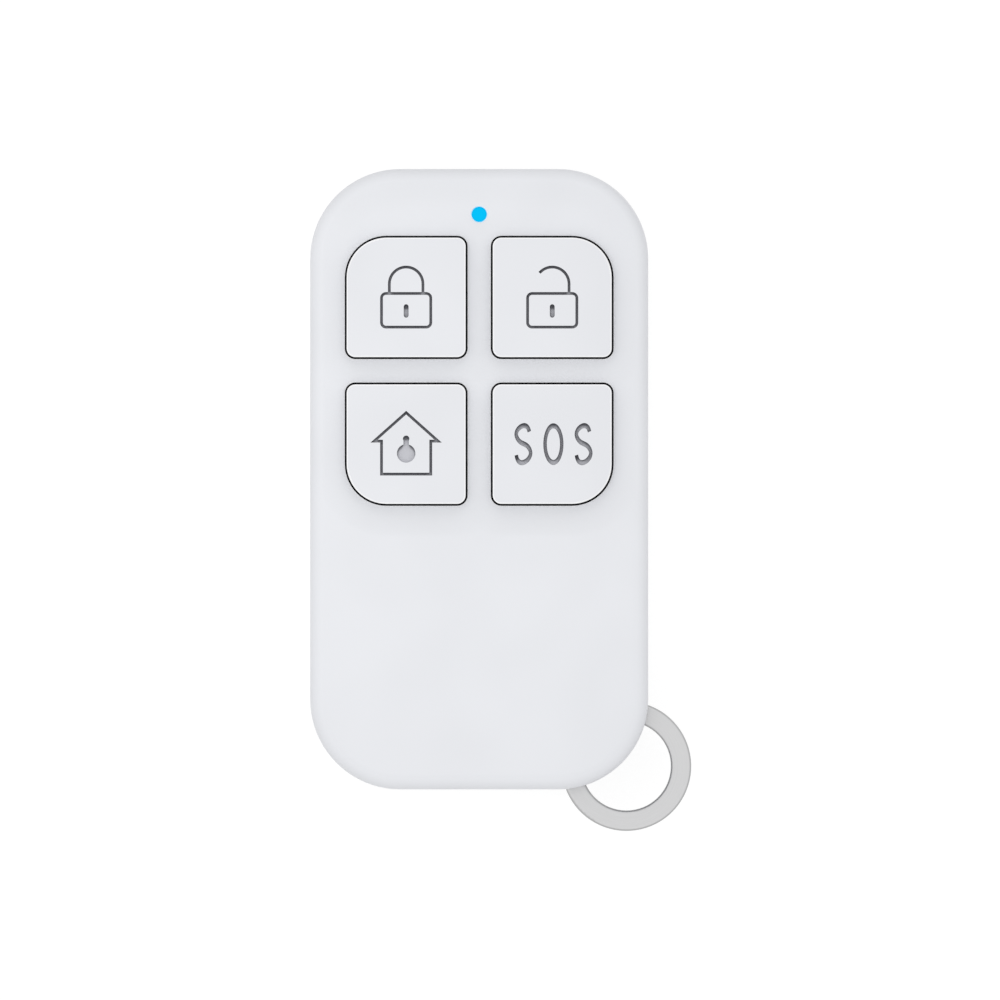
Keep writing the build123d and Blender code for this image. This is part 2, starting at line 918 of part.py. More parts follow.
chip_resistors = make_bodies("chip_resistors", resistor_places, resistor_height)
chip_capacitors = make_bodies("chip_capacitors", capacitor_places, capacitor_height)

terminal_groups = [(resistor_places, resistor_height), (capacitor_places, capacitor_height)]
with BuildPart() as passive_terminals:
    for places, height in terminal_groups:
        for place in places:
            with BuildSketch(Plane(origin=(*place, board_top))):
                with GridLocations(0, passive_length - terminal_length, 1, 2):
                    Rectangle(passive_width + 2 * terminal_wrap, terminal_length)
            extrude(amount=height + 2 * terminal_wrap)
passive_terminals.part.label = "passive_terminals"


# Loop antenna, etched round the free end of the board

trace_bottom_y = board_end_y + trace_from_edge
trace_notch_radius = corner_block_radius + board_gap + trace_from_edge
trace_notch_x = ring_x - math.sqrt(trace_notch_radius**2 - (trace_bottom_y - ring_y) ** 2)
trace_notch_y = ring_y + math.sqrt(trace_notch_radius**2 - (trace_x - ring_x) ** 2)
with BuildPart() as loop_antenna:
    with BuildSketch(Plane.XY.offset(board_top)):
        with BuildLine():
            FilletPolyline(
                (-trace_x, free_top_y - trace_from_edge),
                (-trace_x, trace_bottom_y),
                (trace_notch_x, trace_bottom_y),
                (trace_x, trace_notch_y),
                (trace_x, free_top_y - trace_from_edge),
                radius=trace_corner_radius,
            )
        trace(line_width=trace_width)
    extrude(amount=trace_thickness)
loop_antenna.part.label = "loop_antenna"


# Battery

with BuildPart() as coin_cell:
    with BuildSketch(cell_plane(cell_bottom)):
        Circle(cell_radius)
    extrude(amount=cell_thickness - cell_cap_height)
    fillet(coin_cell.edges().sort_by(Axis.Z)[0], cell_edge_radius)
    with BuildSketch(cell_plane(cell_top - cell_cap_height)):
        Circle(cell_cap_radius)
    extrude(amount=cell_cap_height)
coin_cell.part.label = "coin_cell"

with BuildPart() as cell_gasket:
    with BuildSketch(cell_plane(cell_top - cell_cap_height)):
        Circle(cell_cap_radius + gasket_width)
        Circle(cell_cap_radius, mode=Mode.SUBTRACT)
    extrude(amount=gasket_height)
cell_gasket.part.label = "cell_gasket"


# Battery contacts, each a bent strip soldered under the board

half_contact = contact_thickness / 2
contact_plane = Plane(origin=(0, cell_y, 0), x_dir=(1, 0, 0), z_dir=(0, -1, 0))

with BuildPart() as negative_contact:
    with BuildSketch(contact_plane):
        with BuildLine():
            Polyline(
                (-negative_reach, board_bottom - half_contact),
                (negative_foot_length - negative_reach, board_bottom - half_contact),
                (-negative_flat_length / 2, cell_top + half_contact),
                (negative_flat_length / 2, cell_top + half_contact),
                (negative_reach - negative_foot_length, board_bottom - half_contact),
                (negative_reach, board_bottom - half_contact),
            )
        trace(line_width=contact_thickness)
    extrude(amount=contact_width / 2, both=True)
negative_contact.part.label = "negative_contact"

with BuildPart() as positive_contact:
    touch_x = cell_radius + cell_float + half_contact
    stand_x = cell_radius + positive_stand_off
    with BuildSketch(contact_plane):
        with BuildLine():
            Polyline(
                (stand_x - positive_foot_length, board_bottom - half_contact),
                (stand_x, board_bottom - half_contact),
                (touch_x, board_bottom - half_contact - positive_drop),
                (touch_x + positive_tail_length, board_bottom - positive_drop - positive_tail_length),
            )
        trace(line_width=contact_thickness)
    extrude(amount=contact_width / 2, both=True)
positive_contact.part.label = "positive_contact"


# Battery cover and its seal

seal_height = cover_recess + cover_thickness / 2
seal_path_radius = counterbore_radius - seal_gap - seal_radius

with BuildPart() as battery_cover:
    with BuildSketch(cell_plane(cover_recess)):
        Circle(cover_radius)
    extrude(amount=cover_thickness)
    fillet(battery_cover.edges().sort_by(Axis.Z)[0], cover_edge_radius)
    with BuildSketch(cell_plane(cover_top)):
        Circle(cup_outer_radius)
        Circle(cup_inner_radius, mode=Mode.SUBTRACT)
    extrude(amount=lug_top - cover_top)
    with BuildSketch(cell_plane(lug_bottom)):
        for lug_start in lug_starts():
            add(ring_sector(cup_inner_radius, lug_radius, lug_start, lug_arc))
    extrude(amount=lug_thickness)
    with BuildSketch(cell_plane(seal_height - seal_radius - seal_groove_gap)):
        Circle(cover_radius + overrun)
        Circle(seal_path_radius - seal_radius - seal_groove_gap, mode=Mode.SUBTRACT)
    extrude(amount=2 * (seal_radius + seal_groove_gap), mode=Mode.SUBTRACT)
    with BuildSketch(cell_plane(cover_recess)):
        SlotOverall(coin_slot_length, coin_slot_width)
        with Locations((0, cover_radius - mark_spacing)):
            Circle(mark_radius)
    extrude(amount=coin_slot_depth, mode=Mode.SUBTRACT)
battery_cover.part.label = "battery_cover"

with BuildPart(cell_plane(seal_height)) as cover_seal:
    Torus(seal_path_radius, seal_radius)
cover_seal.part.label = "cover_seal"


# Case screws

def screw_profile():
    """Half of a screw's lengthwise section, out from its axis, with a sharp thread."""
    thread_length = screw_length - screw_plain_length
    thread_turns = int(thread_length / thread_pitch)
    core_radius = screw_radius - thread_depth
    points = [
        (0, 0),
        (screw_head_radius, 0),
        (screw_head_radius, screw_head_height),
        (screw_radius, screw_head_height),
        (screw_radius, screw_head_height + screw_plain_length - thread_pitch),
    ]
    for turn in range(thread_turns):
        turn_start = screw_head_height + screw_plain_length + turn * thread_pitch
        points.append((core_radius, turn_start))
        points.append((screw_radius, turn_start + thread_pitch / 2))
    points.append((core_radius, screw_head_height + screw_plain_length + thread_turns * thread_pitch))
    points.append((0, screw_head_height + screw_length))
    return points


with BuildPart() as case_screws:
    for screw_place in screw_centres:
        screw_plane = Plane(
            origin=(*screw_place, screw_head_recess), x_dir=(1, 0, 0), z_dir=(0, -1, 0)
        )
        with BuildSketch(screw_plane):
            with BuildLine():
                Polyline(*screw_profile(), close=True)
            make_face()
        revolve(axis=Axis((*screw_place, 0), (0, 0, 1)))
    with BuildSketch(Plane.XY.offset(screw_head_recess)):
        with Locations(*screw_centres):
            Rectangle(screw_drive_length, screw_drive_width)
            Rectangle(screw_drive_width, screw_drive_length)
    extrude(amount=screw_drive_depth, mode=Mode.SUBTRACT)
case_screws.part.label = "case_screws"


# Key ring: a flat strip wound twice, its two turns stacked, with one step between them

turn_offset = (turn_thickness + turn_gap) / 2
turn_arc = 360 - ring_jog_arc - ring_end_arc
ring_axis = Axis((ring_x, ring_y, 0), (0, 0, 1))


def strip_plane(angle, height):
    """A plane across the strip, at an angle round the ring."""
    out_x, out_y = math.cos(math.radians(angle)), math.sin(math.radians(angle))
    middle_radius = ring_inner_radius + ring_width / 2
    return Plane(
        origin=(ring_x + middle_radius * out_x, ring_y + middle_radius * out_y, height),
        x_dir=(out_x, out_y, 0),
        z_dir=(out_y, -out_x, 0),
    )


with BuildPart() as key_ring:
    with BuildSketch(strip_plane(ring_jog_angle, parting_height + turn_offset)):
        RectangleRounded(ring_width, turn_thickness, ring_edge_radius)
    revolve(axis=ring_axis, revolution_arc=-turn_arc)
    with BuildSketch(strip_plane(ring_jog_angle + ring_jog_arc, parting_height - turn_offset)):
        RectangleRounded(ring_width, turn_thickness, ring_edge_radius)
    revolve(axis=ring_axis, revolution_arc=turn_arc)
    for section in range(jog_sections):
        way = section / (jog_sections - 1)
        section_height = parting_height + turn_offset * math.cos(math.pi * way)
        with BuildSketch(strip_plane(ring_jog_angle + way * ring_jog_arc, section_height)):
            RectangleRounded(ring_width, turn_thickness, ring_edge_radius)
    loft()
key_ring.part.label = "key_ring"


pieces = [
    back_shell.part,
    front_shell.part,
    *key_caps,
    key_mat.part,
    light_pipe.part,
    indicator_lamp.part,
    circuit_board.part,
    *switch_pieces,
    encoder_chip,
    transistor,
    resonator,
    chip_leads,
    chip_resistors,
    chip_capacitors,
    passive_terminals.part,
    loop_antenna.part,
    coin_cell.part,
    cell_gasket.part,
    negative_contact.part,
    positive_contact.part,
    battery_cover.part,
    cover_seal.part,
    case_screws.part,
    key_ring.part,
]

os.makedirs("parts", exist_ok=True)
for piece in pieces:
    export_step(piece, "parts/" + piece.label + ".step")
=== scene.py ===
import json
import math

import bmesh
import bpy
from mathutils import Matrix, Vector


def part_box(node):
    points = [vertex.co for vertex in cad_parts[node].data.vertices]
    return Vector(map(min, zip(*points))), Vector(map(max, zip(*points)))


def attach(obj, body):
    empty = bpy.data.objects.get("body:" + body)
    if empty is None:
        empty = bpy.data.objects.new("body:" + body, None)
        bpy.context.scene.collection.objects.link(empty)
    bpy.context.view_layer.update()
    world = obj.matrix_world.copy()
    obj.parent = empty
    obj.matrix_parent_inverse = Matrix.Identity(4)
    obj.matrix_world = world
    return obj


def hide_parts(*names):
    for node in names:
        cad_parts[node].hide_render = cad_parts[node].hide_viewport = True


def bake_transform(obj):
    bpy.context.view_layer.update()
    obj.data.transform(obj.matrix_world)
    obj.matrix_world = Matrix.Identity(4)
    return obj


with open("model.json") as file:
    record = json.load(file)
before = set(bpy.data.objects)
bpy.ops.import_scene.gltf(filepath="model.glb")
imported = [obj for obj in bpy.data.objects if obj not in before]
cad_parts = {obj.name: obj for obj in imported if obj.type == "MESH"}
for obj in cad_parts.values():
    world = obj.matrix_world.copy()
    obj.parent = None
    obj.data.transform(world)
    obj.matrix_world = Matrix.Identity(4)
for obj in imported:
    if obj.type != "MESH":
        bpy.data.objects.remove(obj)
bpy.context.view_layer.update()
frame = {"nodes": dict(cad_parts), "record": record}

# Lengths are in metres. A millimetre is the unit that the small sizes are written in.
mm = 0.001
keys = {"lock": (-1, 1), "unlock": (1, 1), "home": (-1, -1), "sos": (1, -1)}
case_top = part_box("front_shell")[1].z


# Camera, straight over the front face, at the photograph's framing

image_width = 1000
body_centre_px = (479.2, 479.2)
body_width_px = 338.2
lens = 800
sensor = 36

case_low, case_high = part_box("front_shell")
metres_per_px = (case_high.x - case_low.x) / body_width_px
view_width = image_width * metres_per_px
aim_x = (case_low.x + case_high.x) / 2 + (image_width / 2 - body_centre_px[0]) * metres_per_px
aim_y = (case_low.y + case_high.y) / 2 - (image_width / 2 - body_centre_px[1]) * metres_per_px

camera_data = bpy.data.cameras.new("camera")
camera_data.lens = lens
camera_data.sensor_width = sensor
camera_data.clip_start = 0.01
camera_data.clip_end = 100
camera = bpy.data.objects.new("camera", camera_data)
camera.location = (aim_x, aim_y, case_top + view_width * lens / sensor)
bpy.context.scene.collection.objects.link(camera)
bpy.context.scene.camera = camera
bpy.context.scene.view_settings.view_transform = "Standard"


# Helpers for materials

def add_node(material, kind, feeds=None, **options):
    """A new node. A feed is a value, or the socket that it comes from, by the input's name or number."""
    node = material.node_tree.nodes.new("ShaderNode" + kind)
    for option, value in options.items():
        setattr(node, option, value)
    for name, value in (feeds or {}).items():
        if isinstance(value, bpy.types.NodeSocket):
            material.node_tree.links.new(value, node.inputs[name])
        else:
            node.inputs[name].default_value = value
    return node


def shader_of(material):
    return material.node_tree.nodes["Principled BSDF"]


def feed(material, name, socket):
    """Feeds one input of the material's shader."""
    material.node_tree.links.new(socket, shader_of(material).inputs[name])


def new_material(name, colour, roughness, metallic=0.0, **values):
    """A material with plain values on its shader."""
    material = bpy.data.materials.new(name)
    material.use_nodes = True
    plain = {"Base Color": (*colour, 1), "Roughness": roughness, "Metallic": metallic}
    plain.update({key.replace("_", " "): value for key, value in values.items()})
    for key, value in plain.items():
        shader_of(material).inputs[key].default_value = value
    return material


def object_place(material):
    return add_node(material, "TexCoord").outputs["Object"]


def box_place(material):
    """Place within the object's own box, from 0 to 1 each way."""
    return add_node(material, "TexCoord").outputs["Generated"]


def object_normal(material):
    return add_node(material, "TexCoord").outputs["Normal"]


def noise(material, cell, detail=2.0, place=None):
    """Noise whose cells are about as large as cell, in metres."""
    place = place or object_place(material)
    feeds = {"Vector": place, "Scale": 1 / cell, "Detail": detail}
    return add_node(material, "TexNoise", feeds).outputs["Fac"]


def spread(material, value, low, high, start=0.35, end=0.65):
    """Maps a pattern's middle part, from start to end, to low and high."""
    feeds = {"Value": value, "From Min": start, "From Max": end, "To Min": low, "To Max": high}
    return add_node(material, "MapRange", feeds).outputs["Result"]


def mix_colours(material, factor, colour_a, colour_b):
    """One colour where the factor is 0, the other where it is 1. A colour may be a socket.

    The node's inputs 6 and 7 and its output 2 are the ones for colours.
    """
    node = add_node(material, "Mix", data_type="RGBA")
    for number, value in ((0, factor), (6, colour_a), (7, colour_b)):
        if isinstance(value, bpy.types.NodeSocket):
            material.node_tree.links.new(value, node.inputs[number])
        elif number:
            node.inputs[number].default_value = (*value, 1)
    return node.outputs[2]


def math_node(material, operation, first, second=0.0):
    return add_node(material, "Math", {0: first, 1: second}, operation=operation).outputs["Value"]


def axes(material, vector):
    """The vector's x, y and z as sockets."""
    return add_node(material, "SeparateXYZ", {"Vector": vector}).outputs


def smooth_step(material, value, start, end):
    """0 before start, 1 after end, smooth between. Start may be the larger."""
    node = add_node(material, "MapRange", {"Value": value}, interpolation_type="SMOOTHSTEP")
    low, high = min(start, end), max(start, end)
    node.inputs["From Min"].default_value = low
    node.inputs["From Max"].default_value = high
    node.inputs["To Min"].default_value = 0.0 if start < end else 1.0
    node.inputs["To Max"].default_value = 1.0 if start < end else 0.0
    return node.outputs["Result"]


def bump(material, height, depth, strength=1.0):
    """Raises the surface by up to depth, in metres, in the shading alone."""
    feeds = {"Height": height, "Distance": depth, "Strength": strength}
    feed(material, "Normal", add_node(material, "Bump", feeds).outputs["Normal"])


def shade(colour, factor):
    return tuple(part * factor for part in colour)


# Materials, one for each slot of the record

slot_colours = {row["slot"]: tuple(row["base_color"]) for row in frame["record"]["materials"]}
case_white = (0.786, 0.797, 0.829)
key_white = (0.777, 0.787, 0.818)
# Painted highlight: a near-white colour painted on the edges of the keys and of the key openings
highlight_white = (0.96, 0.96, 0.97)
lamp_blue = (0.0, 0.52, 0.92)

# Where a surface turns from the top face to an edge and from an edge to a side, by its normal's z
top_to_edge = (0.995, 0.93)
side_to_edge = (0.1, 0.3)
flat_up = (0.97, 0.999)
opening_reach = 0.3 * mm

# Painted shadow: the front face is painted darker by key_shade within reach of the raised keys
key_shade = 0.88
key_shade_reach = 3 * mm
key_shade_lean = 0.45
key_shade_openness = (0.7, 1.0)

# The signs' grey paint, with painted shade on it: from their deep places, darkest where the walls hide the
# sky, to their open ones. The shares are of the key's own box.
sign_deep = (0.050, 0.051, 0.066)
sign_open = (0.565, 0.57, 0.61)
sign_reach = 0.5 * mm
sign_lean = 0.7
sign_openness = (0.4, 0.7)
sign_curve = 1.15
sign_field_share = 0.36
cap_top_share = 0.992
cap_floor_share = 0.6


def moulded(name, colour, roughness, grain_cell, grain_depth, highlight_mask=None):
    """Moulded plastic: faint flow marks, a fine even grain from the tool, and a painted highlight on its
    edges where a mask is given.
    """
    material = new_material(name, colour, roughness)
    flow = noise(material, 9 * mm, detail=1.0)
    tone = mix_colours(material, spread(material, flow, 0, 1), shade(colour, 0.985), shade(colour, 1.01))
    if highlight_mask:
        # Painted highlight: where the mask is 1, the edges are painted near white
        tone = mix_colours(material, highlight_mask(material), tone, highlight_white)
    feed(material, "Base Color", tone)
    grain = noise(material, grain_cell, detail=3.0)
    patches = noise(material, 4 * mm)
    feed(material, "Roughness", spread(material, patches, roughness - 0.04, roughness + 0.04))
    bump(material, grain, grain_depth)
    return material, tone


def tilted(material):
    """1 on an edge between the top face and the sides, 0 on either."""
    up = axes(material, object_normal(material))[2]
    leaves_top = smooth_step(material, up, *top_to_edge)
    return math_node(material, "MULTIPLY", leaves_top, smooth_step(material, up, *side_to_edge))


def opening_edges(material):
    """1 on the chamfers round the key openings and the lamp's hole, where the case gets a painted highlight.
    """
    place = axes(material, object_place(material))
    near_any = 0.0
    for low, high in ((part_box("home_key")[0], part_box("unlock_key")[1]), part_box("light_pipe")):
        near = math_node(material, "GREATER_THAN", place[2], case_top - opening_reach)
        for axis in (0, 1):
            middle, half = (low[axis] + high[axis]) / 2, (high[axis] - low[axis]) / 2 + opening_reach
            off = math_node(material, "ABSOLUTE", math_node(material, "SUBTRACT", place[axis], middle))
            near = math_node(material, "MULTIPLY", near, math_node(material, "LESS_THAN", off, half))
        near_any = math_node(material, "MAXIMUM", near, near_any)
    return math_node(material, "MULTIPLY", near_any, tilted(material))


def openness(material, reach, lean, local):
    """How much of the sky a place sees past what stands within reach, from 0 to 1."""
    leaning = add_node(material, "CombineXYZ", {"Y": lean, "Z": math.sqrt(1 - lean ** 2)})
    feeds = {"Distance": reach, "Normal": leaning.outputs["Vector"]}
    return add_node(material, "AmbientOcclusion", feeds, samples=16, only_local=local).outputs["AO"]


def case_plastic():
    """The case's plastic, with a painted highlight on the chamfers round its openings, and a painted shadow
    that darkens the front face close to the raised keys.
    """
    material, tone = moulded("case_plastic", case_white, 0.42, 0.11 * mm, 0.004 * mm, opening_edges)
    face = smooth_step(material, axes(material, object_normal(material))[2], *flat_up)
    # Painted shadow: the face is darker where the raised keys within reach hide the sky
    seen_sky = openness(material, key_shade_reach, key_shade_lean, False)
    hidden = spread(material, seen_sky, 1, 0, *key_shade_openness)
    key_shadow_mask = math_node(material, "MULTIPLY", face, hidden)
    shaded = mix_colours(material, key_shadow_mask, tone, shade(case_white, key_shade))
    feed(material, "Base Color", shaded)
    return material


def key_plastic():
    """The case's plastic, a little smoother, with a painted highlight on its edges, and grey paint with
    painted shade in the bottom and sides of its sign.
    """
    material, tone = moulded("key_plastic", key_white, 0.36, 0.09 * mm, 0.003 * mm, tilted)
    place = axes(material, box_place(material))
    inside = 1.0
    for axis in (0, 1):
        from_middle = math_node(material, "ABSOLUTE", math_node(material, "SUBTRACT", place[axis], 0.5))
        within = math_node(material, "LESS_THAN", from_middle, sign_field_share)
        inside = math_node(material, "MULTIPLY", inside, within)
    below_top = math_node(material, "LESS_THAN", place[2], cap_top_share)
    above_cap_floor = math_node(material, "GREATER_THAN", place[2], cap_floor_share)
    inside = math_node(material, "MULTIPLY", inside, below_top)
    inside = math_node(material, "MULTIPLY", inside, above_cap_floor)
    # Painted shade: the sign's grey paint is darker where its walls hide the sky, darkest next to the walls
    # on its +y side
    lit = spread(material, openness(material, sign_reach, sign_lean, True), 0, 1, *sign_openness)
    lit = math_node(material, "POWER", lit, sign_curve)
    paint_and_shade = mix_colours(material, lit, sign_deep, sign_open)
    feed(material, "Base Color", mix_colours(material, inside, tone, paint_and_shade))
    return material


def silicone(name, colour, roughness):
    """Soft rubber: matt, with a dusty bloom and tiny pits."""
    material = new_material(name, colour, roughness, Specular_IOR_Level=0.35)
    bloom = noise(material, 2.5 * mm, detail=4.0)
    tone = mix_colours(material, spread(material, bloom, 0, 1), shade(colour, 0.8), shade(colour, 1.35))
    feed(material, "Base Color", tone)
    feed(material, "Roughness", spread(material, bloom, roughness - 0.08, roughness + 0.08))
    bump(material, noise(material, 0.06 * mm), 0.003 * mm)
    return material


def mat_rubber():
    return silicone("mat_rubber", slot_colours["mat_rubber"], 0.7)


def seal_rubber():
    return silicone("seal_rubber", slot_colours["seal_rubber"], 0.55)


def lamp_lens():
    """Clear plastic that glows evenly with the lamp's light, a touch brighter in the middle."""
    unlit_blue = (0.0, 0.02, 0.04)
    glow_fade = (0.25, 0.36)
    rim_share = 0.9
    material = new_material("lamp_lens", unlit_blue, 0.3, Specular_IOR_Level=0.03)
    shader_of(material).inputs["Emission Strength"].default_value = 1.0
    place = axes(material, box_place(material))
    offsets = [math_node(material, "SUBTRACT", place[axis], 0.5) for axis in (0, 1)]
    squares = [math_node(material, "POWER", offset, 2.0) for offset in offsets]
    from_axis = math_node(material, "SQRT", math_node(material, "ADD", *squares))
    edge = smooth_step(material, from_axis, *glow_fade)
    feed(material, "Emission Color", mix_colours(material, edge, lamp_blue, shade(lamp_blue, rim_share)))
    return material


def lamp_package():
    """White lamp package with a pale yellow window in its top."""
    white = slot_colours["lamp_package"]
    window_yellow = (0.85, 0.72, 0.3)
    window_reaches = (0.3, 0.38)
    window_fade = 0.05
    top_share = 0.95
    material = new_material("lamp_package", white, 0.35)
    place = axes(material, box_place(material))
    inside = 1.0
    for axis, reach in enumerate(window_reaches):
        from_middle = math_node(material, "ABSOLUTE", math_node(material, "SUBTRACT", place[axis], 0.5))
        within = smooth_step(material, from_middle, reach, reach - window_fade)
        inside = math_node(material, "MULTIPLY", inside, within)
    on_top = math_node(material, "GREATER_THAN", place[2], top_share)
    window = math_node(material, "MULTIPLY", inside, on_top)
    feed(material, "Base Color", mix_colours(material, window, white, window_yellow))
    bump(material, noise(material, 0.1 * mm), 0.002 * mm)
    return material


def board_laminate():
    """Solder mask over etched copper on the faces, bare laminate at the cut edges."""
    mask = slot_colours["board_laminate"]
    laminate_dark, laminate_pale = (0.45, 0.38, 0.2), (0.6, 0.53, 0.33)
    track_pitches = (1.27 * mm, 2.1 * mm)
    track_wander = 0.6 * mm
    track_fade = (0.16 * mm, 0.12 * mm)
    track_height = 0.02 * mm
    track_regions = (0.48, 0.5)
    material = new_material("board_laminate", mask, 0.32, Coat_Weight=0.3, Coat_Roughness=0.15)
    place = object_place(material)
    parts = axes(material, place)
    wander = noise(material, 6 * mm, detail=0.0)
    lines = 0.0
    for axis, pitch in enumerate(track_pitches):
        shift = math_node(material, "MULTIPLY", wander, track_wander)
        cycle = math_node(material, "PINGPONG", math_node(material, "ADD", parts[axis], shift), pitch / 2)
        line = smooth_step(material, cycle, *track_fade)
        lines = math_node(material, "MAXIMUM", line, lines)
    regions = smooth_step(material, noise(material, 5 * mm, detail=0.0), *track_regions)
    copper = math_node(material, "MULTIPLY", lines, regions)
    face = mix_colours(material, copper, shade(mask, 0.85), shade(mask, 1.5))
    up = math_node(material, "ABSOLUTE", axes(material, object_normal(material))[2])
    cut_edge = math_node(material, "LESS_THAN", up, 0.5)
    weave = noise(material, 0.12 * mm, detail=1.0)
    laminate = mix_colours(material, spread(material, weave, 0, 1), laminate_dark, laminate_pale)
    feed(material, "Base Color", mix_colours(material, cut_edge, face, laminate))
    bump(material, copper, track_height)
    return material


def metal(name, colour, roughness, cell, stretch=(1, 1, 1), depth=0.002 * mm):
    """Plated or rolled metal, with fine streaks along its stretch."""
    material = new_material(name, colour, roughness, metallic=1.0)
    mapping = add_node(material, "Mapping", {"Vector": object_place(material), "Scale": stretch})
    streaks = noise(material, cell, detail=4.0, place=mapping.outputs["Vector"])
    feed(material, "Roughness", spread(material, streaks, roughness - 0.07, roughness + 0.1))
    cloud = noise(material, 2.2 * mm)
    tone = mix_colours(material, spread(material, cloud, 0, 1), shade(colour, 0.93), shade(colour, 1.04))
    feed(material, "Base Color", tone)
    bump(material, streaks, depth)
    return material


def copper():
    return metal("copper", slot_colours["copper"], 0.3, 0.5 * mm, depth=0.004 * mm)


def tinned_metal():
    return metal("tinned_metal", slot_colours["tinned_metal"], 0.28, 0.25 * mm, depth=0.01 * mm)


def steel():
    return metal("steel", slot_colours["steel"], 0.26, 0.3 * mm, stretch=(1, 0.08, 1))


def ring_steel():
    """Satin plate on the key ring, brushed round it, with painted shade where its edges turn over."""
    colour = (0.66, 0.66, 0.665)
    brush_cell = 0.05 * mm
    along_brush_share = 0.02
    edge_turn = (0.98, 0.75)
    edge_shade = 0.65
    material = new_material("ring_steel", colour, 0.36, metallic=1.0)
    low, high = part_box("key_ring")
    middle = (low + high) / 2
    from_middle = add_node(
        material, "VectorMath", {0: object_place(material), 1: (middle.x, middle.y, 0)}, operation="SUBTRACT"
    )
    parts = axes(material, from_middle.outputs["Vector"])
    squares = [math_node(material, "POWER", parts[axis], 2.0) for axis in (0, 1)]
    radius = math_node(material, "SQRT", math_node(material, "ADD", *squares))
    around = math_node(material, "MULTIPLY", parts[0], along_brush_share)
    brushed_place = add_node(material, "CombineXYZ", {"X": radius, "Y": around, "Z": parts[2]})
    brushed = noise(material, brush_cell, detail=3.0, place=brushed_place.outputs["Vector"])
    up = math_node(material, "ABSOLUTE", axes(material, object_normal(material))[2])
    side = smooth_step(material, up, *edge_turn)
    face = mix_colours(material, spread(material, brushed, 0, 1), shade(colour, 0.97), shade(colour, 1.02))
    # Painted shade: where the edges turn over, the colour is painted darker by edge_shade
    feed(material, "Base Color", mix_colours(material, side, face, shade(colour, edge_shade)))
    feed(material, "Roughness", spread(material, brushed, 0.32, 0.42))
    bump(material, brushed, 0.001 * mm)
    return material


def speckled(name, colour, roughness, fleck, fleck_cell):
    """A filled plastic or ceramic with fine flecks."""
    material = new_material(name, colour, roughness)
    flecks = noise(material, fleck_cell, detail=2.0)
    shows = smooth_step(material, flecks, 0.55, 0.75)
    feed(material, "Base Color", mix_colours(material, shows, colour, fleck))
    feed(material, "Roughness", spread(material, flecks, roughness - 0.05, roughness + 0.08))
    bump(material, flecks, 0.004 * mm)
    return material


def black_epoxy():
    colour = slot_colours["black_epoxy"]
    return speckled("black_epoxy", colour, 0.55, shade(colour, 2.2), 0.08 * mm)


def chip_ceramic():
    colour = slot_colours["chip_ceramic"]
    return speckled("chip_ceramic", colour, 0.45, shade(colour, 1.3), 0.06 * mm)


def resistor_coat():
    """Dark glassy coat on the top of a white ceramic block."""
    colour = slot_colours["resistor_coat"]
    ceramic_dark, ceramic_pale = (0.66, 0.66, 0.64), (0.8, 0.8, 0.78)
    top_turn = (0.4, 0.6)
    material = new_material("resistor_coat", colour, 0.25)
    up = axes(material, object_normal(material))[2]
    on_top = smooth_step(material, up, *top_turn)
    patches = spread(material, noise(material, 0.08 * mm), 0, 1)
    ceramic = mix_colours(material, patches, ceramic_dark, ceramic_pale)
    feed(material, "Base Color", mix_colours(material, on_top, ceramic, colour))
    bump(material, noise(material, 0.15 * mm), 0.004 * mm)
    return material


def switch_plastic():
    colour = slot_colours["switch_plastic"]
    return speckled("switch_plastic", colour, 0.5, shade(colour, 2.5), 0.05 * mm)


def plunger_plastic():
    material, _ = moulded("plunger_plastic", slot_colours["plunger_plastic"], 0.4, 0.08 * mm, 0.003 * mm)
    return material


def gasket_plastic():
    material, _ = moulded("gasket_plastic", slot_colours["gasket_plastic"], 0.45, 0.1 * mm, 0.004 * mm)
    return material


materials = {
    make.__name__: make()
    for make in (
        case_plastic,
        key_plastic,
        mat_rubber,
        lamp_lens,
        lamp_package,
        board_laminate,
        copper,
        black_epoxy,
        tinned_metal,
        steel,
        ring_steel,
        chip_ceramic,
        resistor_coat,
        switch_plastic,
        plunger_plastic,
        gasket_plastic,
        seal_rubber,
    )
}
for node in frame["nodes"].values():
    for material_slot in node.material_slots:
        material_slot.material = materials[material_slot.material.name.split(".")[0]]


# Helpers for meshes

sharp_angle = math.radians(35)


def corner_loop(centre, half_x, half_y, radii, height, steps=10):
    """A rounded rectangle as points, with a radius for each corner from +x +y anticlockwise."""
    points = []
    for number, (way_x, way_y) in enumerate(((1, 1), (-1, 1), (-1, -1), (1, -1))):
        radius = radii[number]
        turn_x = centre[0] + way_x * (half_x - radius)
        turn_y = centre[1] + way_y * (half_y - radius)
        for step in range(steps + 1):
            angle = math.radians(90 * (number + step / steps))
            points.append(
                Vector((turn_x + radius * math.cos(angle), turn_y + radius * math.sin(angle), height))
            )
    return points


def circle(centre, radius, height, steps):
    """A circle as points, anticlockwise from +x."""
    points = []
    for step in range(steps):
        angle = math.radians(360 * step / steps)
        points.append(
            Vector((centre.x + radius * math.cos(angle), centre.y + radius * math.sin(angle), height))
        )
    return points


def mesh_object(name, mesh_data, body, material):
    """A shaded piece from a bmesh, riding on a body."""
    bmesh.ops.recalc_face_normals(mesh_data, faces=mesh_data.faces)
    mesh = bpy.data.meshes.new(name)
    for face in mesh_data.faces:
        face.smooth = True
    for edge in mesh_data.edges:
        edge.smooth = edge.calc_face_angle(0) < sharp_angle
    mesh_data.to_mesh(mesh)
    mesh_data.free()
    mesh.materials.append(materials[material])
    piece = bpy.data.objects.new(name, mesh)
    bpy.context.scene.collection.objects.link(piece)
    if body:
        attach(piece, body)
    return piece


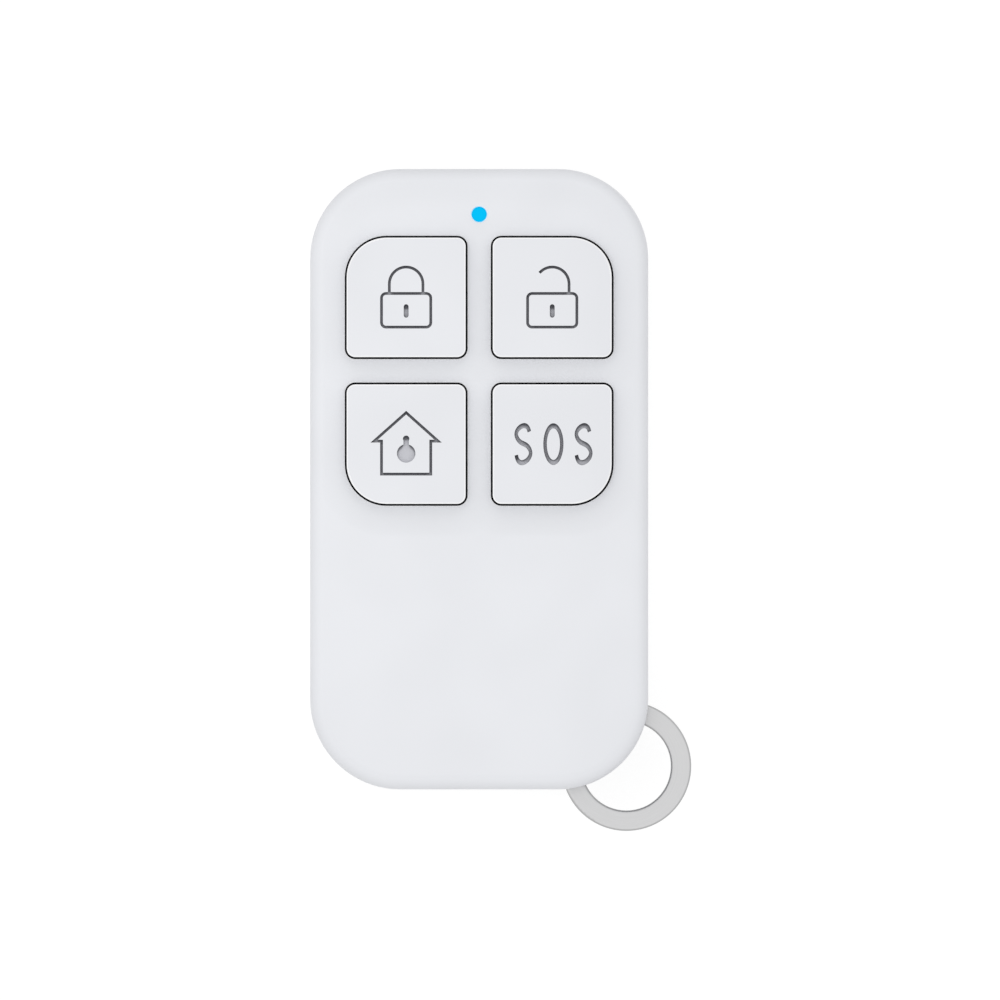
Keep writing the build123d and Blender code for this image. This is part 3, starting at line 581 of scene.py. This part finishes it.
def loft(name, loops, body, material):
    """A closed solid through loops of as many points each, with flat ends."""
    made = bmesh.new()
    rings = [[made.verts.new(point) for point in loop] for loop in loops]
    for lower, upper in zip(rings, rings[1:]):
        for step in range(len(lower)):
            after = (step + 1) % len(lower)
            made.faces.new((lower[step], lower[after], upper[after], upper[step]))
    made.faces.new(rings[0])
    made.faces.new(rings[-1])
    return mesh_object(name, made, body, material)


# Rubber mat: a frame held by the case, and for each key a dome that stays still and a nub that rides on the
# key and pushes its switch

mat_low, mat_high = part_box("key_mat")
mat_border = 0.5 * mm
flex_gap = mat_high.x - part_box("unlock_key")[1].x - mat_border
pedestal_inset = 1.275 * mm
pedestal_radius = 1.2 * mm
cap_outer_radius = 3.72 * mm
cap_inner_radius = 0.8 * mm
web_thickness = 0.2 * mm
web_rise = 0.5 * mm
web_below_plunger_top = 0.05 * mm
web_steps = 6
nub_radius = 1.0 * mm
nub_steps = 32
rubber_edge = 0.1 * mm
frame_above_key_foot = 0.2 * mm
peg_hole_radius = 0.6 * mm
peg_hole_steps = 24
merge_distance = 0.001 * mm


def outline_radii(side, end, grow):
    """The key's four corner radii, with the large one at the keypad's own corner."""
    radii = [cap_inner_radius + grow] * 4
    radii[{(1, 1): 0, (-1, 1): 1, (-1, -1): 2, (1, -1): 3}[side, end]] = cap_outer_radius + grow
    return radii


def make_dome(name, side, end):
    """The web and pedestal under one key. The web slopes up, as a real one does so that it can bend as the
    key goes down; this one stays still.
    """
    cap_low, cap_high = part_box(name + "_key")
    centre = (cap_low + cap_high) / 2
    half_x, half_y = (cap_high.x - cap_low.x) / 2, (cap_high.y - cap_low.y) / 2
    plunger_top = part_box(name + "_plunger")[1].z
    web_low = plunger_top - web_below_plunger_top

    def loop(way, height):
        """The outline on the way from the mat's frame, at 0, to the pedestal, at 1."""
        shrink = way * (flex_gap + pedestal_inset)
        outer = outline_radii(side, end, flex_gap)
        radii = [radius + way * (pedestal_radius - radius) for radius in outer]
        return corner_loop(centre, half_x + flex_gap - shrink, half_y + flex_gap - shrink, radii, height)

    ways = [step / web_steps for step in range(web_steps + 1)]
    ease = [way * way * (3 - 2 * way) for way in ways]
    under = [loop(way, web_low + rise * web_rise) for way, rise in zip(ways, ease)]
    over = [loop(way, web_low + web_thickness + rise * web_rise) for way, rise in zip(ways, ease)]
    shoulder = mat_high.z - rubber_edge
    inner_x = half_x - pedestal_inset - rubber_edge
    inner_y = half_y - pedestal_inset - rubber_edge
    top = corner_loop(centre, inner_x, inner_y, [pedestal_radius - rubber_edge] * 4, mat_high.z)
    loops = under[::-1] + over + [loop(1, shoulder), top]
    dome = loft(name + "_mat_dome", loops, None, "mat_rubber")
    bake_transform(dome)

    nub_loops = [
        circle(centre, nub_radius - rubber_edge, plunger_top, nub_steps),
        circle(centre, nub_radius, plunger_top + rubber_edge, nub_steps),
        circle(centre, nub_radius, web_low + web_rise, nub_steps),
    ]
    loft(name + "_mat_nub", nub_loops, name + "_key", "mat_rubber")


def make_mat_frame():
    """The mat's frame: a plate with four key cells and three peg holes in it."""
    curve = bpy.data.curves.new("mat_frame_outline", "CURVE")
    curve.dimensions = "2D"
    curve.fill_mode = "BOTH"
    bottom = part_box("circuit_board")[1].z
    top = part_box("lock_key")[0].z + frame_above_key_foot
    curve.extrude = (top - bottom) / 2 - rubber_edge
    curve.bevel_depth = rubber_edge
    curve.bevel_resolution = 2
    curve.offset = -rubber_edge
    centre = (mat_low + mat_high) / 2
    outer = corner_loop(
        centre,
        mat_high.x - centre.x,
        mat_high.y - centre.y,
        [cap_outer_radius + flex_gap + mat_border] * 4,
        0,
    )
    outlines = [outer]
    for name, (side, end) in keys.items():
        cap_low, cap_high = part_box(name + "_key")
        cap_centre = (cap_low + cap_high) / 2
        outlines.append(corner_loop(
            cap_centre,
            (cap_high.x - cap_low.x) / 2 + flex_gap,
            (cap_high.y - cap_low.y) / 2 + flex_gap,
            outline_radii(side, end, flex_gap),
            0,
        ))
    pitch = (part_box("lock_key")[1].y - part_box("home_key")[1].y) / 2
    for row in (-1, 0, 1):
        hole_centre = centre + Vector((0, row * pitch, 0))
        outlines.append(circle(hole_centre, peg_hole_radius, 0, peg_hole_steps))
    for outline in outlines:
        spline = curve.splines.new("POLY")
        spline.points.add(len(outline) - 1)
        for point, place in zip(spline.points, outline):
            point.co = (place.x, place.y, 0, 1)
        spline.use_cyclic_u = True
    drawn = bpy.data.objects.new("mat_frame_outline", curve)
    bpy.context.scene.collection.objects.link(drawn)
    bpy.context.view_layer.update()
    flat = bpy.data.meshes.new_from_object(drawn)
    bpy.data.objects.remove(drawn)
    made = bmesh.new()
    made.from_mesh(flat)
    bpy.data.meshes.remove(flat)
    bmesh.ops.translate(made, verts=made.verts, vec=(0, 0, (top + bottom) / 2))
    bmesh.ops.remove_doubles(made, verts=made.verts, dist=merge_distance)
    return mesh_object("mat_frame", made, "case", "mat_rubber")


mat_frame = make_mat_frame()
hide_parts("key_mat")
for name, (side, end) in keys.items():
    make_dome(name, side, end)


# Floor, world and lamps

floor_size = 6.0
floor_gap = 0.02 * mm
floor_share = 0.2
floor_glow = 0.86
floor_colour = (0.68, 0.68, 0.68)


def seen_directly(material):
    """1 for what the camera, a reflection or clear plastic sees, 0 for what lights the object."""
    rays = add_node(material, "LightPath").outputs
    seen = math_node(material, "MAXIMUM", rays["Is Camera Ray"], rays["Is Glossy Ray"])
    return math_node(material, "MAXIMUM", seen, rays["Is Transmission Ray"])


def make_floor():
    """A white floor that keeps a soft shadow."""
    bpy.ops.mesh.primitive_plane_add(size=floor_size, location=(0, 0, -floor_gap))
    floor = bpy.context.object
    floor.name = "floor"
    material = bpy.data.materials.new("floor")
    material.use_nodes = True
    nodes = material.node_tree.nodes
    nodes.remove(nodes["Principled BSDF"])
    glow = add_node(material, "Emission", {"Color": (1, 1, 1, 1), "Strength": floor_glow})
    shadowed = add_node(material, "BsdfDiffuse", {"Color": (floor_share, floor_share, floor_share, 1)})
    lit = add_node(material, "BsdfDiffuse", {"Color": (*floor_colour, 1)})
    both = add_node(material, "AddShader", {0: glow.outputs[0], 1: shadowed.outputs[0]})
    mixed = add_node(
        material, "MixShader", {0: seen_directly(material), 1: lit.outputs[0], 2: both.outputs[0]}
    )
    material.node_tree.links.new(mixed.outputs[0], nodes["Material Output"].inputs["Surface"])
    floor.data.materials.append(material)


sky_dim = 0.75
sky_bright = 0.915
sky_side = Vector((0.35, -0.3, 0.89)).normalized()
lamp_place = (-0.045, 0.012, 0.13)
lamp_size = 0.08
lamp_power = 0.030


def make_world():
    """An even studio, brighter overhead and a little so from the ring's side, that shows as white."""
    world = bpy.data.worlds.new("studio")
    world.use_nodes = True
    bpy.context.scene.world = world
    nodes = world.node_tree.nodes
    direction = add_node(world, "TexCoord").outputs["Generated"]
    along = add_node(world, "VectorMath", {0: direction, 1: sky_side}, operation="DOT_PRODUCT")
    level = spread(world, along.outputs["Value"], sky_dim, sky_bright, start=-1.0, end=1.0)
    grey = add_node(world, "CombineColor", {0: level, 1: level, 2: level}).outputs[0]
    colour = mix_colours(world, seen_directly(world), grey, (1, 1, 1))
    world.node_tree.links.new(colour, nodes["Background"].inputs["Color"])
    nodes["Background"].inputs["Strength"].default_value = 1.0


def make_lamp():
    """A square soft lamp above the fob and to its left, facing it."""
    lamp_data = bpy.data.lights.new("key_lamp", "AREA")
    lamp_data.shape = "SQUARE"
    lamp_data.size = lamp_size
    lamp_data.energy = lamp_power
    lamp = bpy.data.objects.new("key_lamp", lamp_data)
    lamp.visible_camera = False
    lamp.visible_glossy = False
    lamp.location = lamp_place
    lamp.rotation_mode = "QUATERNION"
    lamp.rotation_quaternion = (-Vector(lamp_place)).to_track_quat("-Z", "Y")
    bpy.context.scene.collection.objects.link(lamp)


make_floor()
make_world()
make_lamp()
